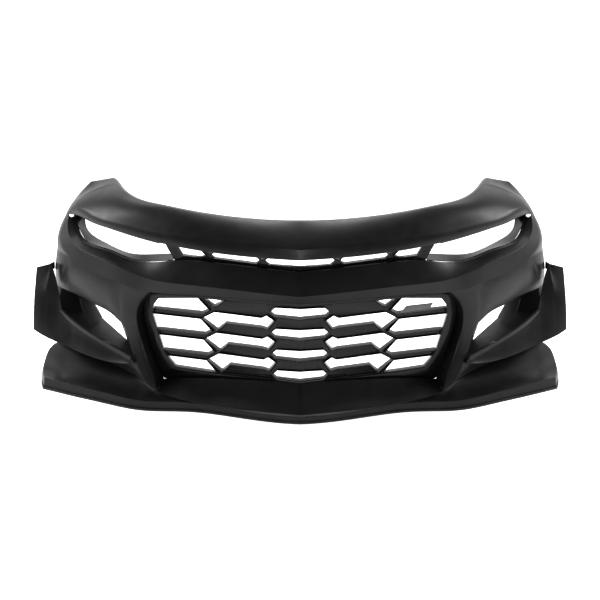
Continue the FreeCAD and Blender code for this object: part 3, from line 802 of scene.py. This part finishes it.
# Pieces that come in pairs, drawn on the right and mirrored to the left, with their walls in mm
PAIRS = (
    ("canard", CANARD_CORNERS, CANARD_LINES, CANARD_QUADS, CANARD_FLANGES, 5.0, "cover_black"),
    ("duct_liner", DUCT_CORNERS, DUCT_LINES, DUCT_QUADS, (), 2.5, "liner_black"),
    ("duct_vane", VANE_CORNERS, VANE_LINES, VANE_QUADS, (), 2.5, "liner_black"),
    ("headlamp_bezel", BEZEL_CORNERS, BEZEL_LINES, BEZEL_QUADS, (), 2.5, "trim_black"),
)
for name, corners, chains, quads, flanges, wall, slot in PAIRS:
    for side, flip in (("right", False), ("left", True)):
        quilt = Quilt(corners, chains, quads, flanges, mirrored=False, cell=PAIR_CELL)
        shift = CANARD_STANDOFF if name == "canard" else (0, 0, 0)
        piece = show(name + "_" + side + "_skin", quilt.mesh(name), shift, flip)
        moulded(piece, wall, round_mm=1.0 if name == "canard" else 0.4)
        hand_in(piece, slot, name + "_" + side)

# Grilles and flat pieces: rounding in mm, slot, and a hollowed front's slope and depth in mm
SOFT = (
    ("splitter_blade", 1.5, "cover_black"),
    ("upper_grille", 0.8, "trim_black", (2.2, 3.0)),
    ("lower_grille", 0.9, "trim_black", (3.0, 12.0)),
    ("grille_frame", 3.0, "trim_black"),
    ("grille_badge", 0.8, "badge_grey"),
    ("canard_stay_right", 0.5, "steel_black"),
    ("canard_stay_left", 0.5, "steel_black"),
    ("fender_bracket_right", 0.5, "steel_black"),
    ("fender_bracket_left", 0.5, "steel_black"),
)
for node, width, slot, *recess in SOFT:
    hand_in(softened(node, width, *recess), slot, node)

# Screws and nuts keep the CAD's own shapes
for node, slot in (("splitter_screws", "steel_black"), ("splitter_nuts", "steel_zinc")):
    paint_slot(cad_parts[node], slot)


# Stage, light and camera
def flat_sheet(name, half, z):
    """A level square sheet, for the floor."""
    mesh = bpy.data.meshes.new(name)
    ring = [(-half, -half, z), (half, -half, z), (half, half, z), (-half, half, z)]
    mesh.from_pydata(ring, [], [(0, 1, 2, 3)])
    obj = bpy.data.objects.new(name, mesh)
    bpy.context.scene.collection.objects.link(obj)
    return obj


floor = flat_sheet("floor", 60.0, -0.001)
paint = bpy.data.materials.new("floor_paint")
paint.use_nodes = True
paint_shader = paint.node_tree.nodes["Principled BSDF"]
paint_shader.inputs["Base Color"].default_value = (0.9, 0.9, 0.9, 1)
paint_shader.inputs["Roughness"].default_value = 0.9
paint_shader.inputs["Specular IOR Level"].default_value = 0.1
paint_shader.inputs["Emission Color"].default_value = (1, 1, 1, 1)
paint_shader.inputs["Emission Strength"].default_value = 0.72
floor.data.materials.append(paint)


def lamp(name, place, target, width, height, power):
    """A soft rectangular lamp that points at a target."""
    data = bpy.data.lights.new(name, "AREA")
    data.shape = "RECTANGLE"
    data.size = width
    data.size_y = height
    data.energy = power
    obj = bpy.data.objects.new(name, data)
    obj.location = place
    obj.rotation_euler = (Vector(target) - Vector(place)).to_track_quat("-Z", "Y").to_euler()
    bpy.context.scene.collection.objects.link(obj)


lamp("overhead", (0, 1.1, 2.6), (0, 0.1, 0.5), 2.8, 0.8, 62)
lamp("front_fill", (0, -5.2, 1.9), (0, 0, 0.35), 3.2, 0.35, 85)
lamp("left_side", (-2.6, 0.2, 1.5), (-0.6, 0, 0.45), 0.9, 1.4, 45)
lamp("right_side", (2.6, 0.2, 1.5), (0.6, 0, 0.45), 0.9, 1.4, 45)

# The sky is a pale sweep behind the part that darkens towards the front
world = bpy.data.worlds.new("studio")
bpy.context.scene.world = world
world.use_nodes = True
sky = world.node_tree
aim = sky.nodes.new("ShaderNodeTexCoord").outputs["Generated"]
parts = sky.nodes.new("ShaderNodeSeparateXYZ")
link(sky, aim, parts.inputs[0])
strength = spread(sky, parts.outputs["Y"], 0.1, 1.5, -0.25, 0.75)
link(sky, strength, sky.nodes["Background"].inputs["Strength"])
sky.nodes["Background"].inputs["Color"].default_value = (1, 1, 1, 1)

# The photograph's viewing angle
CAMERA_PLACE = (0, -4.595, 1.830)
CAMERA_TARGET = (0, -0.03, 0.347)
view = bpy.data.cameras.new("camera")
view.lens = 81.66
view.sensor_width = 36.0
view.clip_end = 200
camera = bpy.data.objects.new("camera", view)
camera.location = CAMERA_PLACE
look = Vector(CAMERA_TARGET) - camera.location
camera.rotation_euler = look.to_track_quat("-Z", "Y").to_euler()
bpy.context.scene.collection.objects.link(camera)
bpy.context.scene.camera = camera
bpy.context.scene.view_settings.view_transform = "Standard"
bpy.context.scene.view_settings.gamma = 0.85
